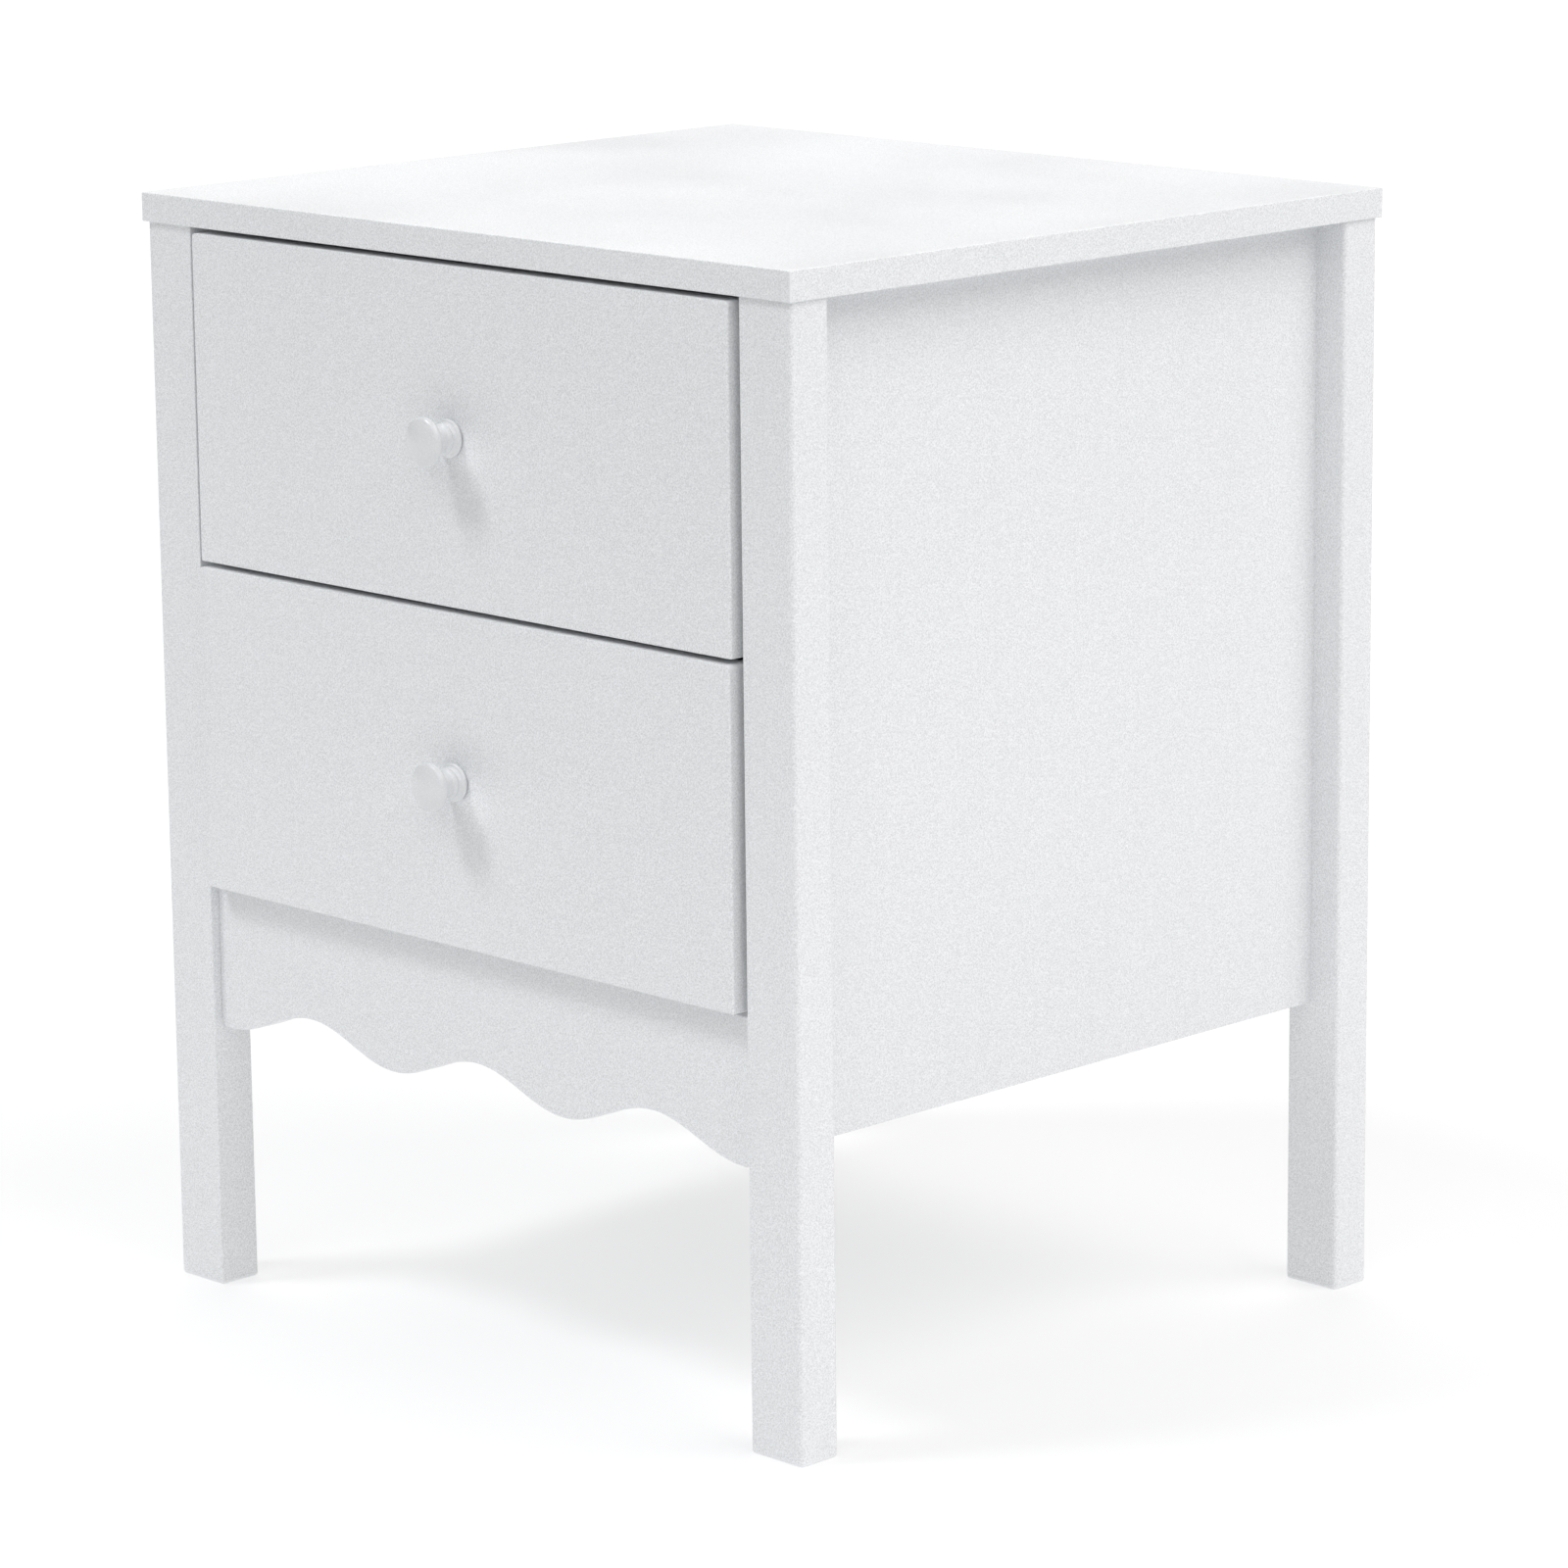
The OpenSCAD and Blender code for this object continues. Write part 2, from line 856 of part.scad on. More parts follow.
module drawer_cam_bolts(z0) {
    color(zinc)
        for (side = [-1, 1])
            drawer_bolts(side, z0, 0);
}

module drawer_screws(z0) {
    color(zinc)
        for (side = [-1, 1])
            drawer_screw_places(side, z0)
                mirror([1, 0, 0])
                    pan_screw(box_t + box_screw_grip);
}

top_panel();
leg(-1, y_leg_front);  // leg_front_left
leg(1, y_leg_front);  // leg_front_right
leg(-1, y_side_rear);  // leg_rear_left
leg(1, y_side_rear);  // leg_rear_right
side_panel(-1);  // side_panel_left
side_panel(1);  // side_panel_right
back_panel();
apron_front();
rail_top_front();
rail_top_rear();
rail_bottom_rear();
frame_dowels();
frame_cam_locks();
frame_cam_bolts();
top_screws();
back_panel_screws();
runner_screws();
runner(-1, upper_front_z);  // runner_upper_left
runner(1, upper_front_z);  // runner_upper_right
runner(-1, lower_front_z);  // runner_lower_left
runner(1, lower_front_z);  // runner_lower_right
ball_cage(-1, upper_front_z);  // ball_cage_upper_left
ball_cage(1, upper_front_z);  // ball_cage_upper_right
left_open(0.5) ball_cage(-1, lower_front_z);  // ball_cage_lower_left
left_open(0.5) ball_cage(1, lower_front_z);  // ball_cage_lower_right
balls(-1, upper_front_z);  // balls_upper_left
balls(1, upper_front_z);  // balls_upper_right
left_open(0.5) balls(-1, lower_front_z);  // balls_lower_left
left_open(0.5) balls(1, lower_front_z);  // balls_lower_right
drawer_front(upper_front_z);  // upper_drawer_front
drawer_side(-1, upper_front_z);  // upper_drawer_side_left
drawer_side(1, upper_front_z);  // upper_drawer_side_right
drawer_back(upper_front_z);  // upper_drawer_back
drawer_bottom(upper_front_z);  // upper_drawer_bottom
knob(upper_front_z);  // upper_knob
knob_screw(upper_front_z);  // upper_knob_screw
drawer_slide(-1, upper_front_z);  // upper_drawer_slide_left
drawer_slide(1, upper_front_z);  // upper_drawer_slide_right
drawer_slide_screws(upper_front_z);  // upper_drawer_slide_screws
drawer_cam_locks(upper_front_z);  // upper_drawer_cam_locks
drawer_cam_bolts(upper_front_z);  // upper_drawer_cam_bolts
drawer_screws(upper_front_z);  // upper_drawer_screws
left_open(1) drawer_front(lower_front_z);  // lower_drawer_front
left_open(1) drawer_side(-1, lower_front_z);  // lower_drawer_side_left
left_open(1) drawer_side(1, lower_front_z);  // lower_drawer_side_right
left_open(1) drawer_back(lower_front_z);  // lower_drawer_back
left_open(1) drawer_bottom(lower_front_z);  // lower_drawer_bottom
left_open(1) knob(lower_front_z);  // lower_knob
left_open(1) knob_screw(lower_front_z);  // lower_knob_screw
left_open(1) drawer_slide(-1, lower_front_z);  // lower_drawer_slide_left
left_open(1) drawer_slide(1, lower_front_z);  // lower_drawer_slide_right
left_open(1) drawer_slide_screws(lower_front_z);  // lower_drawer_slide_screws
left_open(1) drawer_cam_locks(lower_front_z);  // lower_drawer_cam_locks
left_open(1) drawer_cam_bolts(lower_front_z);  // lower_drawer_cam_bolts
left_open(1) drawer_screws(lower_front_z);  // lower_drawer_screws
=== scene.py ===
import math

import bmesh
import bpy
from mathutils import Matrix, Vector


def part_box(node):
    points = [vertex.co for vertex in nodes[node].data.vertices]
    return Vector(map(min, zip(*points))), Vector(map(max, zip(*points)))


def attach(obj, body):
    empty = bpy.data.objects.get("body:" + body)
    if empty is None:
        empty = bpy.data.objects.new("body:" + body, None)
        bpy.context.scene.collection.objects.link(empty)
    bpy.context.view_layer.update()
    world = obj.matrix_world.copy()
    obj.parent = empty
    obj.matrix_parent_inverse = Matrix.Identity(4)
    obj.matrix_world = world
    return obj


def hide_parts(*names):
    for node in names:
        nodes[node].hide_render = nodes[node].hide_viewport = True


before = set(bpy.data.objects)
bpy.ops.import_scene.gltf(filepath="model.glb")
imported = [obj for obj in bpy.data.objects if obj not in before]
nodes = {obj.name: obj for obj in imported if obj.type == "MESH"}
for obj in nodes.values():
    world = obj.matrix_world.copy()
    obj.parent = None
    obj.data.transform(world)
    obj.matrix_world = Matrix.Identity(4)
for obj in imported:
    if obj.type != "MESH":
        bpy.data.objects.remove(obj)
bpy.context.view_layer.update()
scene = bpy.context.scene

MM = 0.001
LEVELS = ("upper", "lower")
SIDES = ("left", "right")

# ---------------------------------------------------------------- node helpers

# Nearly every value of a noise texture lies in this span
NOISE_LOW = 0.3
NOISE_HIGH = 0.7


def material(name):
    """A new node material and its shader."""
    mat = bpy.data.materials.new(name)
    mat.use_nodes = True
    return mat, mat.node_tree.nodes["Principled BSDF"]


class Graph:
    """Short calls for the nodes that the materials share."""

    def __init__(self, mat):
        self.tree = mat.node_tree
        self.coords = self.tree.nodes.new("ShaderNodeTexCoord").outputs["Object"]

    def link(self, source, target):
        self.tree.links.new(source, target)

    def scaled(self, scale, turn=(0.0, 0.0, 0.0)):
        """The object's own coordinates, scaled and turned."""
        node = self.tree.nodes.new("ShaderNodeMapping")
        node.inputs["Scale"].default_value = scale
        node.inputs["Rotation"].default_value = turn
        self.link(self.coords, node.inputs["Vector"])
        return node.outputs["Vector"]

    def noise(self, scale, detail=3.0, rough=0.55, vector=None):
        node = self.tree.nodes.new("ShaderNodeTexNoise")
        node.inputs["Scale"].default_value = scale
        node.inputs["Detail"].default_value = detail
        node.inputs["Roughness"].default_value = rough
        self.link(vector or self.coords, node.inputs["Vector"])
        return node.outputs["Fac"]

    def span(self, value, low, high, start=NOISE_LOW, end=NOISE_HIGH):
        """value from start..end mapped onto low..high. Left out, they are the span of a noise."""
        node = self.tree.nodes.new("ShaderNodeMapRange")
        node.inputs["From Min"].default_value = start
        node.inputs["From Max"].default_value = end
        node.inputs["To Min"].default_value = low
        node.inputs["To Max"].default_value = high
        self.link(value, node.inputs["Value"])
        return node.outputs["Result"]

    def math(self, operation, a, b):
        node = self.tree.nodes.new("ShaderNodeMath")
        node.operation = operation
        for slot, value in zip(node.inputs, (a, b)):
            if isinstance(value, (int, float)):
                slot.default_value = value
            else:
                self.link(value, slot)
        return node.outputs["Value"]

    def blend(self, amount, a, b):
        """Colour a turning into colour b."""
        node = self.tree.nodes.new("ShaderNodeMix")
        node.data_type = "RGBA"
        self.link(amount, node.inputs["Factor"])
        for slot, value in ((node.inputs[6], a), (node.inputs[7], b)):
            if isinstance(value, (tuple, list)):
                slot.default_value = (*value, 1.0)
            else:
                self.link(value, slot)
        return node.outputs[2]

    def attribute(self, name):
        node = self.tree.nodes.new("ShaderNodeAttribute")
        node.attribute_name = name
        return node.outputs["Fac"]

    def bump(self, height, distance, normal=None):
        node = self.tree.nodes.new("ShaderNodeBump")
        node.inputs["Distance"].default_value = distance
        node.inputs["Strength"].default_value = 1.0
        self.link(height, node.inputs["Height"])
        if normal:
            self.link(normal, node.inputs["Normal"])
        return node.outputs["Normal"]


def shade(colour, factor):
    """The colour made lighter or darker."""
    return tuple(c * factor for c in colour)


def drawn_out(axis, across, along):
    """A noise scale that is fine across an axis and long along it."""
    scale = [across, across, across]
    scale["xyz".index(axis)] = along
    return scale


# ------------------------------------------------------------------- materials


# Turns the speckle so that no face of a board lies along its lattice
SKEW = (0.6, 0.4, 0.9)
SPECKLE_SCALE = 1400.0
SPECKLE_HEIGHT = 0.02 * MM
PEEL_HEIGHT = 0.05 * MM
GRAIN_HEIGHT = 0.03 * MM


def paint(name, colour, roughness, grain_along, depth=0.17, relief=1.0):
    """Sprayed satin paint over a sanded board: fine speckle, orange peel and a trace of grain, with
    a painted highlight on the rounded edges.

    depth is how far the speckle swings the tone, and relief scales the height of the bumps.
    """
    faint = 0.007
    # The lighter edge colour is a painted highlight: rounded arrises are coloured as if they caught
    # light
    painted_edge_highlight, edge_polish = 1.08, 0.06
    mat, shader = material(name)
    g = Graph(mat)
    speckle = g.noise(1.0, 1.0, vector=g.scaled((SPECKLE_SCALE,) * 3, SKEW))
    peel = g.noise(420.0, 2.0)
    cloud = g.noise(7.0, 3.0)
    grain = g.noise(1.0, 4.0, 0.6, g.scaled(drawn_out(grain_along, 240.0, 6.0)))
    tone = g.math("ADD", g.span(grain, -faint, faint), g.span(cloud, -faint, faint))
    tone = g.math("ADD", tone, g.span(speckle, -depth, depth))
    share = g.span(tone, 0.0, 1.0, -depth, depth)
    mixed = g.blend(share, shade(colour, 1 - depth), shade(colour, 1 + depth))
    edge = g.attribute("edge")
    # Painted highlight: the rounded edges get a lighter colour than the broad faces
    g.link(g.blend(edge, mixed, shade(colour, painted_edge_highlight)), shader.inputs["Base Color"])
    gloss = g.math("ADD", g.span(cloud, -0.05, 0.05), g.span(speckle, -0.04, 0.04))
    gloss = g.math("ADD", gloss, roughness)
    gloss = g.math("SUBTRACT", gloss, g.math("MULTIPLY", edge, edge_polish))
    g.link(gloss, shader.inputs["Roughness"])
    fine = g.bump(speckle, SPECKLE_HEIGHT * relief)
    skin = g.bump(peel, PEEL_HEIGHT * relief, normal=fine)
    g.link(g.bump(grain, GRAIN_HEIGHT * relief, normal=skin), shader.inputs["Normal"])
    return mat


def foil(name, colour):
    """Matt white foil pressed with a faint pore pattern, on the drawer boxes."""
    mat, shader = material(name)
    g = Graph(mat)
    pores = g.noise(1.0, 5.0, 0.7, g.scaled((900.0, 30.0, 900.0)))
    cloud = g.noise(9.0)
    tone = g.math("ADD", g.span(pores, -0.6, 0.6), g.span(cloud, -0.4, 0.4))
    mixed = g.blend(g.span(tone, 0.0, 1.0, -1.0, 1.0), shade(colour, 0.95), shade(colour, 1.02))
    edge = g.attribute("edge")
    g.link(g.blend(edge, mixed, shade(colour, 0.97)), shader.inputs["Base Color"])
    g.link(g.span(pores, 0.48, 0.62), shader.inputs["Roughness"])
    g.link(g.bump(pores, 0.04 * MM), shader.inputs["Normal"])
    return mat


def hardboard(name, colour):
    """Lacquered hardboard: felted fibres under a thin even coat."""
    mat, shader = material(name)
    g = Graph(mat)
    fibres = g.noise(650.0, 6.0, 0.75)
    mottle = g.noise(38.0, 4.0)
    tone = g.math("ADD", g.span(fibres, -0.6, 0.6), g.span(mottle, -0.4, 0.4))
    mixed = g.blend(g.span(tone, 0.0, 1.0, -1.0, 1.0), shade(colour, 0.93), shade(colour, 1.02))
    g.link(mixed, shader.inputs["Base Color"])
    g.link(g.span(mottle, 0.5, 0.68), shader.inputs["Roughness"])
    g.link(g.bump(fibres, 0.09 * MM), shader.inputs["Normal"])
    return mat


def birch(name, colour):
    """Bare birch dowel wood: fibres that lie level, and small dark flecks."""
    mat, shader = material(name)
    g = Graph(mat)
    fibres = g.noise(1.0, 6.0, 0.7, g.scaled((60.0, 60.0, 900.0)))
    flecks = g.noise(900.0, 2.0)
    mixed = g.blend(g.span(fibres, 0.0, 1.0), shade(colour, 0.72), shade(colour, 1.08))
    dark = g.span(flecks, 0.0, 0.5, 0.55, 0.75)
    g.link(g.blend(dark, mixed, shade(colour, 0.5)), shader.inputs["Base Color"])
    g.link(g.span(fibres, 0.5, 0.75), shader.inputs["Roughness"])
    g.link(g.bump(fibres, 0.08 * MM), shader.inputs["Normal"])
    return mat


def metal(name, colour, roughness, streak, cast=0.0):
    """Rolled or turned metal with draw lines along streak, a dulled tone and rubbed edges.

    cast scales the fine pits of a casting, and 0 leaves them out.
    """
    mat, shader = material(name)
    g = Graph(mat)
    lines = g.noise(1.0, 4.0, 0.6, g.scaled(drawn_out(streak, 700.0, 12.0)))
    dull = g.noise(45.0, 5.0, 0.65)
    tone = g.math("ADD", g.span(lines, -0.5, 0.5), g.span(dull, -0.5, 0.5))
    mixed = g.blend(g.span(tone, 0.0, 1.0, -1.0, 1.0), shade(colour, 0.8), shade(colour, 1.08))
    edge = g.attribute("edge")
    g.link(g.blend(edge, mixed, shade(colour, 1.15)), shader.inputs["Base Color"])
    shader.inputs["Metallic"].default_value = 1.0
    worn = g.span(tone, roughness - 0.08, roughness + 0.12, -1.0, 1.0)
    worn = g.math("SUBTRACT", worn, g.math("MULTIPLY", edge, 0.1))
    g.link(worn, shader.inputs["Roughness"])
    drawn = g.bump(lines, 0.03 * MM)
    g.link(g.bump(g.noise(1100.0, 3.0), 0.08 * MM * cast, normal=drawn), shader.inputs["Normal"])
    return mat


WHITE = (0.80, 0.812, 0.826)
BOARD_ROUGHNESS = 0.42
finish = {
    "paint_x": paint("white_paint_grain_x", WHITE, BOARD_ROUGHNESS, "x"),
    "paint_z": paint("white_paint_grain_z", WHITE, BOARD_ROUGHNESS, "z"),
    "knob": paint("white_knob_paint", shade(WHITE, 0.94), 0.24, "y", 0.04, 0.3),
    "foil": foil("white_foil", (0.79, 0.79, 0.775)),
    "hardboard": hardboard("white_hardboard", (0.76, 0.76, 0.74)),
    "birch": birch("bare_birch", (0.72, 0.56, 0.36)),
    "zinc": metal("zinc_plated_steel", (0.66, 0.67, 0.69), 0.34, "y"),
    "ball": metal("polished_ball_steel", (0.74, 0.74, 0.75), 0.14, "y"),
    "cast": metal("die_cast_zinc", (0.52, 0.52, 0.53), 0.42, "x", 1.0),
}

# --------------------------------------------------------------------- meshes

# Edges sharper than this are rounded, and a knob's edges sharper than CREASE stay sharp
SHARP = math.radians(35)
CREASE = math.radians(40)
# Faces closer in angle than this are one flat face
FLAT = math.radians(0.5)
WELD = 0.002 * MM
# A board's face with more than this share of its thickness squared is broad
BROAD_SHARE = 0.1
# A copied node's face larger than this many squares of its rounding is broad
BROAD_SQUARES = 4


def add_object(name, mesh):
    obj = bpy.data.objects.new(name, mesh)
    scene.collection.objects.link(obj)
    return obj


def applied(obj):
    """The object's mesh with its modifiers made real."""
    graph = bpy.context.evaluated_depsgraph_get()
    mesh = bpy.data.meshes.new_from_object(obj.evaluated_get(graph), depsgraph=graph)
    old = obj.data
    obj.modifiers.clear()
    obj.data = mesh
    bpy.data.meshes.remove(old)
    return mesh


def side_name(face):
    """Which side of a board a face is on."""
    axis = max(range(3), key=lambda i: abs(face.normal[i]))
    low, high = (("left", "right"), ("front", "back"), ("bottom", "top"))[axis]
    return high if face.normal[axis] > 0 else low


def mark_edges(mesh, flat_area):
    """Writes the edge attribute: 1 in the middle of a rounding, 0 where a broad face starts.

    A face larger than flat_area counts as broad.
    """
    touches_flat = set()
    for face in mesh.polygons:
        if face.area > flat_area:
            touches_flat.update(face.vertices)
    values = [0.0 if v in touches_flat else 1.0 for v in range(len(mesh.vertices))]
    layer = mesh.attributes.new("edge", "FLOAT", "POINT")
    layer.data.foreach_set("value", values)


def round_edges(obj, width, segments, by_weight):
    """Rounds every sharp edge by width, or each edge by its own weight's share of it."""
    bevel = obj.modifiers.new("rounding", "BEVEL")
    bevel.width = width
    bevel.segments = segments
    bevel.limit_method = "WEIGHT" if by_weight else "ANGLE"
    bevel.angle_limit = SHARP
    bevel.harden_normals = True
    bevel.use_clamp_overlap = True


def board(name, low, high, default, radii, segments=6):
    """A board between two corners. radii gives the rounding of the edge between two sides."""
    bm = bmesh.new()
    bmesh.ops.create_cube(bm, size=1.0)
    size = high - low
    bm.transform(Matrix.Translation((low + high) / 2) @ Matrix.Diagonal((*size, 1.0)))
    bm.normal_update()
    largest = max([default, *radii.values()])
    weights = bm.edges.layers.float.new("bevel_weight_edge")
    for edge in bm.edges:
        pair = frozenset(side_name(face) for face in edge.link_faces)
        radius = next((r for key, r in radii.items() if frozenset(key) == pair), default)
        edge[weights] = radius / largest
    for face in bm.faces:
        face.smooth = True
    mesh = bpy.data.meshes.new(name)
    bm.to_mesh(mesh)
    bm.free()
    obj = add_object(name, mesh)
    round_edges(obj, largest, segments, True)
    mark_edges(applied(obj), min(size) * min(size) * BROAD_SHARE)
    return obj


def eased_copy(name, node, width, segments=3):
    """A CAD node's own shape with its sharp edges eased."""
    bm = bmesh.new()
    bm.from_mesh(nodes[node].data)
    bmesh.ops.remove_doubles(bm, verts=bm.verts, dist=WELD)
    bmesh.ops.dissolve_limit(bm, angle_limit=FLAT, verts=bm.verts, edges=bm.edges)
    for face in bm.faces:
        face.smooth = True
    mesh = bpy.data.meshes.new(name)
    bm.to_mesh(mesh)
    bm.free()
    obj = add_object(name, mesh)
    round_edges(obj, width, segments, False)
    mark_edges(applied(obj), BROAD_SQUARES * width * width)
    return obj


def dress(obj, look, slot, body, *replaced):
    """Gives a new piece its material and its CAD body, and hides the nodes it stands for."""
    obj.data.materials.clear()
    obj.data.materials.append(finish[look])
    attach(obj, body)
    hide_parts(*replaced)


def keep(node, look):
    """A CAD node that stays as it is and gets a material."""
    mesh = nodes[node].data
    mesh.materials.clear()
    mesh.materials.append(finish[look])


# ------------------------------------------------------------------- the frame

TOP_ARRIS = 0.8 * MM
LEG_ARRIS = 2.5 * MM
LEG_FOOT_ARRIS = 2.0 * MM
LEG_CRISP_ARRIS = 0.6 * MM
PANEL_ARRIS = 0.4 * MM
SHEET_ARRIS = 0.3 * MM
RAIL_ARRIS = 0.5 * MM


def build_top():
    low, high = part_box("top_panel")
    obj = board("top_board", low, high, TOP_ARRIS, {})
    dress(obj, "paint_x", "white_painted_board", "cabinet", "top_panel")


def build_legs():
    """Battens with rounded arrises and feet, crisp under the top and beside the drawers."""
    for place in ("front_left", "front_right", "rear_left", "rear_right"):
        low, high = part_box(f"leg_{place}")
        radii = {}
        for side in ("left", "right", "front", "back"):
            radii[("bottom", side)] = LEG_FOOT_ARRIS
            radii[("top", side)] = LEG_CRISP_ARRIS
        if place.startswith("front"):
            inner = "right" if place.endswith("left") else "left"
            radii[("front", inner)] = LEG_CRISP_ARRIS
        obj = board(f"leg_{place}_batten", low, high, LEG_ARRIS, radii)
        dress(obj, "paint_z", "white_painted_board", "cabinet", f"leg_{place}")


def build_panels():
    for side in SIDES:
        obj = eased_copy(f"side_{side}_board", f"side_panel_{side}", PANEL_ARRIS)
        dress(obj, "paint_z", "white_painted_board", "cabinet", f"side_panel_{side}")
    obj = eased_copy("back_sheet", "back_panel", SHEET_ARRIS)
    dress(obj, "hardboard", "white_hardboard", "cabinet", "back_panel")
    for rail in ("rail_top_front", "rail_top_rear", "rail_bottom_rear"):
        obj = eased_copy(f"{rail}_board", rail, RAIL_ARRIS)
        dress(obj, "paint_x", "white_painted_board", "cabinet", rail)


WAVE_LENGTH = 127 * MM
WAVE_RISE = 16 * MM
WAVE_COUNT = 3
WAVE_STEPS = 180
APRON_CORNER = 3 * MM
CORNER_STEPS = 6
APRON_ARRIS = 0.7 * MM
APRON_BROAD_FACE = 2.0 * MM * MM


def apron_outline(low, high):
    """The apron's front view: whole waves below, then a short flat and a rounded corner."""
    wave_edge = WAVE_COUNT / 2 * WAVE_LENGTH
    wave = []
    for i in range(WAVE_STEPS + 1):
        x = wave_edge * (2 * i / WAVE_STEPS - 1)
        rise = WAVE_RISE / 2 * (1 + math.cos(2 * math.pi * x / WAVE_LENGTH))
        wave.append((x, low.z + rise))
    corner = []
    for i in range(CORNER_STEPS + 1):
        turn = math.radians(90 * i / CORNER_STEPS)
        x = high.x - APRON_CORNER * (1 - math.sin(turn))
        corner.append((x, low.z + APRON_CORNER * (1 - math.cos(turn))))
    mirrored = [(-x, z) for x, z in reversed(corner)]
    return mirrored + wave + corner + [(high.x, high.z), (low.x, high.z)]


def build_apron():
    low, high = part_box("apron_front")
    bm = bmesh.new()
    front = [bm.verts.new((x, low.y, z)) for x, z in apron_outline(low, high)]
    back = [bm.verts.new((v.co.x, high.y, v.co.z)) for v in front]
    bm.faces.new(front)
    bm.faces.new(list(reversed(back)))
    count = len(front)
    for i in range(count):
        j = (i + 1) % count
        bm.faces.new((front[j], front[i], back[i], back[j]))
    bmesh.ops.recalc_face_normals(bm, faces=bm.faces)
    for face in bm.faces:
        face.smooth = True
    mesh = bpy.data.meshes.new("apron_board")
    bm.to_mesh(mesh)
    bm.free()
    obj = add_object("apron_board", mesh)
    round_edges(obj, APRON_ARRIS, 3, False)
    mark_edges(applied(obj), APRON_BROAD_FACE)
    dress(obj, "paint_x", "white_painted_board", "cabinet", "apron_front")


# ----------------------------------------------------------------- the drawers

FRONT_ARRIS = 0.8 * MM
FRONT_RADII = {
    ("front", "top"): 1.0 * MM,
    ("front", "right"): 1.2 * MM,
    ("front", "bottom"): 0.6 * MM,
    ("top", "left"): 2.5 * MM,
    ("top", "right"): 2.5 * MM,
}
BOX_ARRIS = 0.8 * MM


def build_drawer_front(level):
    """A board with narrow roundings, crispest along its lower edge, and rounded top corners."""
    node = f"{level}_drawer_front"
    low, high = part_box(node)
    obj = board(f"{level}_front_board", low, high, FRONT_ARRIS, FRONT_RADII)
    dress(obj, "paint_x", "white_painted_board", f"{level}_drawer", node)


def build_drawer_box(level):
    body = f"{level}_drawer"
    for part in ("side_left", "side_right", "back"):
        node = f"{level}_drawer_{part}"
        obj = eased_copy(f"{node}_board", node, BOX_ARRIS)
        dress(obj, "foil", "white_foiled_board", body, node)
    node = f"{level}_drawer_bottom"
    obj = eased_copy(f"{node}_sheet", node, SHEET_ARRIS)
    dress(obj, "hardboard", "white_hardboard", body, node)


KNOB_SIDES = 96
SAME_POINT = 0.001 * MM


def arc(centre, radius, start, end, steps):
    """Points (radius, height) on an arc, angles in degrees from the outward direction."""
    points = []
    for i in range(steps + 1):
        turn = math.radians(start + (end - start) * i / steps)
        points.append((centre[0] + radius * math.cos(turn), centre[1] + radius * math.sin(turn)))
    return points


def knob_profile(radius, length):
    """Half section from the face of the drawer to the tip: boss, flange, bead, cove, domed head."""
    boss_r = 7.6 * MM
    flange_at, flange_r, flange_edge = 0.4 * MM, 9.7 * MM, 1.25 * MM
    bead_at, bead_edge, bead_r = 6.0 * MM, 5.9 * MM, 2.1 * MM
    bead_start, bead_end = -48, 60
    flare_r, cove_r = 9.0 * MM, 2.6 * MM
    dome_h, rim_r, back_edge = 4.6 * MM, 2.6 * MM, 1.2 * MM
    rim_at = radius - rim_r
    rise = dome_h - rim_r
    dome_r = (rim_at ** 2 + rise ** 2) / (2 * rise) + rim_r
    head_at = length - dome_h
    lean = math.degrees(math.asin((dome_r - dome_h) / (dome_r - rim_r)))
    points = [(0.0, 0.0), (boss_r, 0.0), (boss_r, flange_at)]
    points += arc((flange_r - flange_edge, flange_at + flange_edge), flange_edge, -90, 90, 12)
    points += arc((bead_edge, bead_at), bead_r, bead_start, bead_end, 14)
    points += arc((flare_r, head_at - back_edge - cove_r), cove_r, 180, 90, 10)
    points += arc((radius - back_edge, head_at), back_edge, -90, 0, 8)
    points += arc((rim_at, head_at), rim_r, 0, lean, 20)
    points += arc((0.0, head_at + dome_h - dome_r), dome_r, lean, 90, 18)
    return points


def build_knob(level):
    """The profile turned about the knob's own axis, which runs along y."""
    node = f"{level}_knob"
    low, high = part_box(node)
    centre = (low + high) / 2
    radius = (high.x - low.x) / 2
    bm = bmesh.new()
    rings = []
    for r, out in knob_profile(radius, high.y - low.y):
        y = high.y - out
        if r < SAME_POINT:
            rings.append([bm.verts.new((centre.x, y, centre.z))])
            continue
        ring = []
        for i in range(KNOB_SIDES):
            turn = 2 * math.pi * i / KNOB_SIDES
            x = centre.x + r * math.cos(turn)
            z = centre.z + r * math.sin(turn)
            ring.append(bm.verts.new((x, y, z)))
        rings.append(ring)
    for a, b in zip(rings, rings[1:]):
        for i in range(KNOB_SIDES):
            j = (i + 1) % KNOB_SIDES
            if len(a) == 1:
                bm.faces.new((a[0], b[j], b[i]))
            elif len(b) == 1:
                bm.faces.new((a[i], a[j], b[0]))
            else:
                bm.faces.new((a[i], a[j], b[j], b[i]))
    bmesh.ops.remove_doubles(bm, verts=bm.verts, dist=SAME_POINT)
    bmesh.ops.recalc_face_normals(bm, faces=bm.faces)
    for face in bm.faces:
        face.smooth = True
    for edge in bm.edges:
        if len(edge.link_faces) == 2 and edge.calc_face_angle() > CREASE:
            edge.smooth = False
    mesh = bpy.data.meshes.new(f"{node}_turned")
    bm.to_mesh(mesh)
    bm.free()
    obj = add_object(f"{node}_turned", mesh)
    dress(obj, "knob", "painted_knob", f"{level}_drawer", node)


# ------------------------------------------------------------------- hardware

STEEL_ARRIS = 0.25 * MM


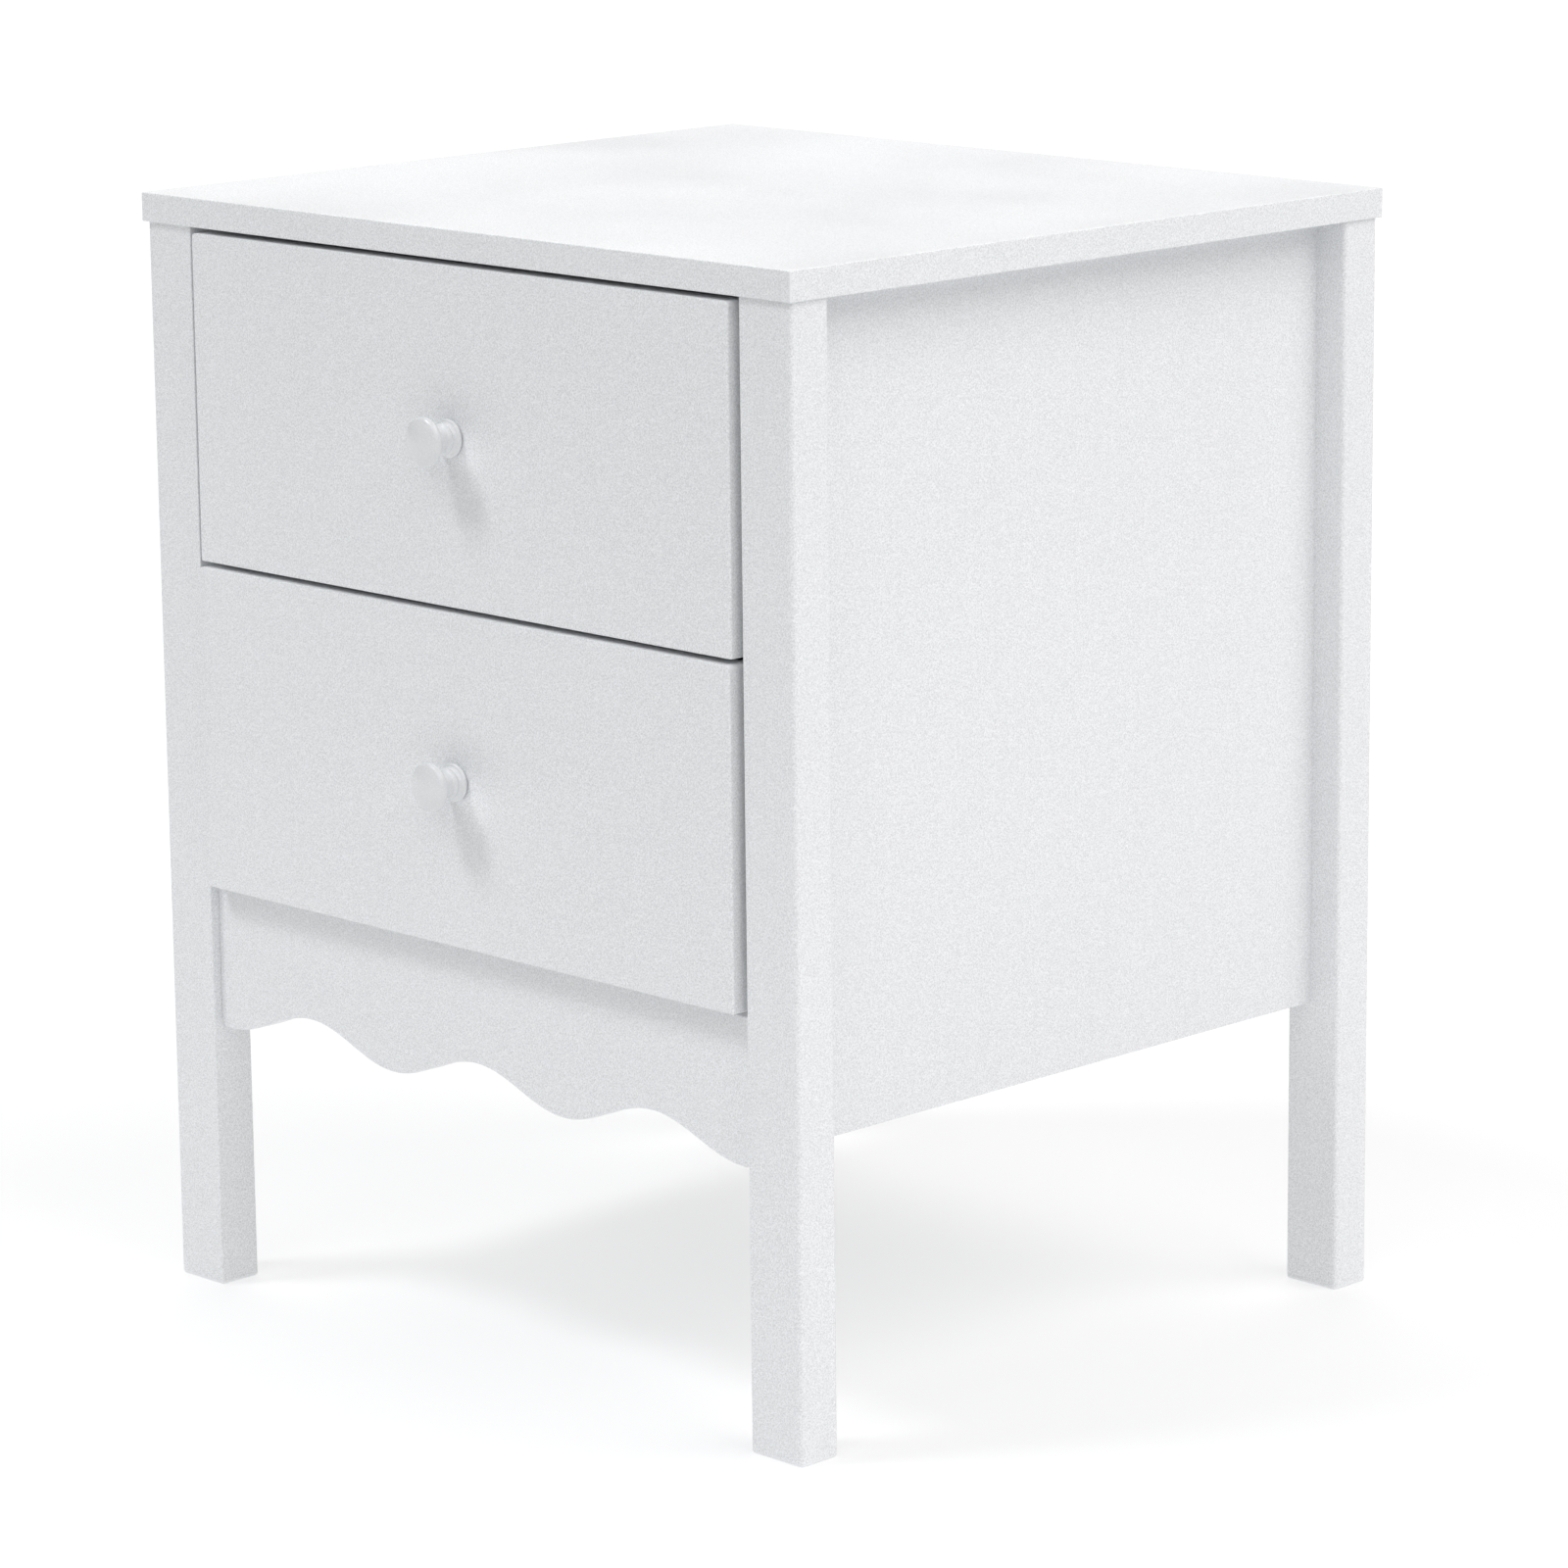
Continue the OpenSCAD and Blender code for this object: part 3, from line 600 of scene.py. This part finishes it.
def build_slides():
    for level in LEVELS:
        for side in SIDES:
            runner = f"runner_{level}_{side}"
            obj = eased_copy(f"{runner}_steel", runner, STEEL_ARRIS, 2)
            dress(obj, "zinc", "zinc_plated_steel", "cabinet", runner)
            member = f"{level}_drawer_slide_{side}"
            obj = eased_copy(f"{member}_steel", member, STEEL_ARRIS, 2)
            dress(obj, "zinc", "zinc_plated_steel", f"{level}_drawer", member)
            keep(f"ball_cage_{level}_{side}", "zinc")
            keep(f"balls_{level}_{side}", "ball")


def build_fasteners():
    keep("frame_dowels", "birch")
    keep("frame_cam_locks", "cast")
    keep("frame_cam_bolts", "zinc")
    keep("top_screws", "zinc")
    keep("back_panel_screws", "zinc")
    keep("runner_screws", "zinc")
    for level in LEVELS:
        keep(f"{level}_drawer_cam_locks", "cast")
        for name in ("drawer_cam_bolts", "drawer_screws", "drawer_slide_screws", "knob_screw"):
            keep(f"{level}_{name}", "zinc")


# ---------------------------------------------------------------------- stage


FLOOR_HALF = 40.0
FLOOR_FRONT = -3.5
FLOOR_DARK = (0.37, 0.37, 0.37)
FLOOR_LIGHT = (0.39, 0.39, 0.39)
FLOOR_GLOW = 0.605
FILL_STRENGTH = 0.01
COOL = (0.97, 0.985, 1.0)
WARM = (1.0, 0.985, 0.98)
WARMER = (1.0, 0.985, 0.965)


def build_floor():
    """A wide pale floor that glows a little, as a lit studio sweep does.

    Its front edge is at y = FLOOR_FRONT, which makes the drawer fronts darken gently upwards.
    """
    bm = bmesh.new()
    bmesh.ops.create_grid(bm, x_segments=1, y_segments=1, size=FLOOR_HALF)
    bm.transform(Matrix.Translation((0.0, FLOOR_HALF + FLOOR_FRONT, 0.0)))
    mesh = bpy.data.meshes.new("studio_floor")
    bm.to_mesh(mesh)
    bm.free()
    obj = add_object("studio_floor", mesh)
    mat, shader = material("studio_floor_white")
    g = Graph(mat)
    cloud = g.noise(3.0)
    g.link(g.blend(cloud, FLOOR_DARK, FLOOR_LIGHT), shader.inputs["Base Color"])
    shader.inputs["Roughness"].default_value = 0.9
    shader.inputs["Specular IOR Level"].default_value = 0.1
    shader.inputs["Emission Color"].default_value = (0.985, 0.99, 1.0, 1.0)
    shader.inputs["Emission Strength"].default_value = FLOOR_GLOW
    mesh.materials.append(mat)


def sun(name, towards_x, towards_y, towards_z, strength, spread, colour):
    """A soft light from that direction, the same over the whole floor. spread is in degrees."""
    data = bpy.data.lights.new(name, "SUN")
    data.energy = strength
    data.angle = math.radians(spread)
    data.color = colour
    obj = bpy.data.objects.new(name, data)
    direction = Vector((towards_x, towards_y, towards_z))
    obj.rotation_mode = "QUATERNION"
    obj.rotation_quaternion = direction.to_track_quat("Z", "Y")
    obj.location = direction
    scene.collection.objects.link(obj)


def build_lights():
    sun("front_left_key", -0.32, -0.44, 0.84, 1.20, 15, COOL)
    sun("front_soft", 0.10, -0.70, 0.70, 0.37, 40, COOL)
    sun("front_right_soft", 0.55, -0.50, 0.67, 0.82, 60, WARM)
    sun("rear_right_soft", 0.64, 0.24, 0.73, 1.72, 50, WARM)
    sun("rear_left_soft", -0.50, 0.45, 0.74, 1.30, 50, WARMER)


def build_world():
    """White behind everything, and a dim even fill."""
    world = bpy.data.worlds.new("studio_world")
    scene.world = world
    world.use_nodes = True
    tree = world.node_tree
    tree.nodes.clear()
    seen = tree.nodes.new("ShaderNodeBackground")
    seen.inputs["Color"].default_value = (1.0, 1.0, 1.0, 1.0)
    seen.inputs["Strength"].default_value = 1.0
    fill = tree.nodes.new("ShaderNodeBackground")
    fill.inputs["Color"].default_value = (0.96, 0.98, 1.0, 1.0)
    fill.inputs["Strength"].default_value = FILL_STRENGTH
    path = tree.nodes.new("ShaderNodeLightPath")
    mix = tree.nodes.new("ShaderNodeMixShader")
    out = tree.nodes.new("ShaderNodeOutputWorld")
    tree.links.new(path.outputs["Is Camera Ray"], mix.inputs["Fac"])
    tree.links.new(fill.outputs["Background"], mix.inputs[1])
    tree.links.new(seen.outputs["Background"], mix.inputs[2])
    tree.links.new(mix.outputs["Shader"], out.inputs["Surface"])


def build_camera():
    """A long lens from the front right, a little above the top, tipped slightly."""
    azimuth = math.radians(45.344)
    elevation = math.radians(12.385)
    roll = math.radians(-0.6)
    aim = Vector((0.0198, 0.0063, 0.2701))
    distance = 3.097
    flat = math.cos(elevation)
    back = Vector((math.sin(azimuth) * flat, -math.cos(azimuth) * flat, math.sin(elevation)))
    level_x = Vector((0.0, 0.0, 1.0)).cross(back).normalized()
    level_y = back.cross(level_x)
    across = level_x * math.cos(roll) + level_y * math.sin(roll)
    up = level_y * math.cos(roll) - level_x * math.sin(roll)
    data = bpy.data.cameras.new("camera")
    data.sensor_width = 36.0
    data.lens = 137.97
    data.clip_start = 0.05
    data.clip_end = 200.0
    obj = bpy.data.objects.new("camera", data)
    scene.collection.objects.link(obj)
    turn = Matrix((across, up, back)).transposed().to_4x4()
    obj.matrix_world = Matrix.Translation(aim + back * distance) @ turn
    scene.camera = obj


build_camera()
build_world()
build_lights()
build_floor()
build_top()
build_legs()
build_panels()
build_apron()
for drawer_level in LEVELS:
    build_drawer_front(drawer_level)
    build_drawer_box(drawer_level)
    build_knob(drawer_level)
build_slides()
build_fasteners()

scene.view_settings.view_transform = "Standard"
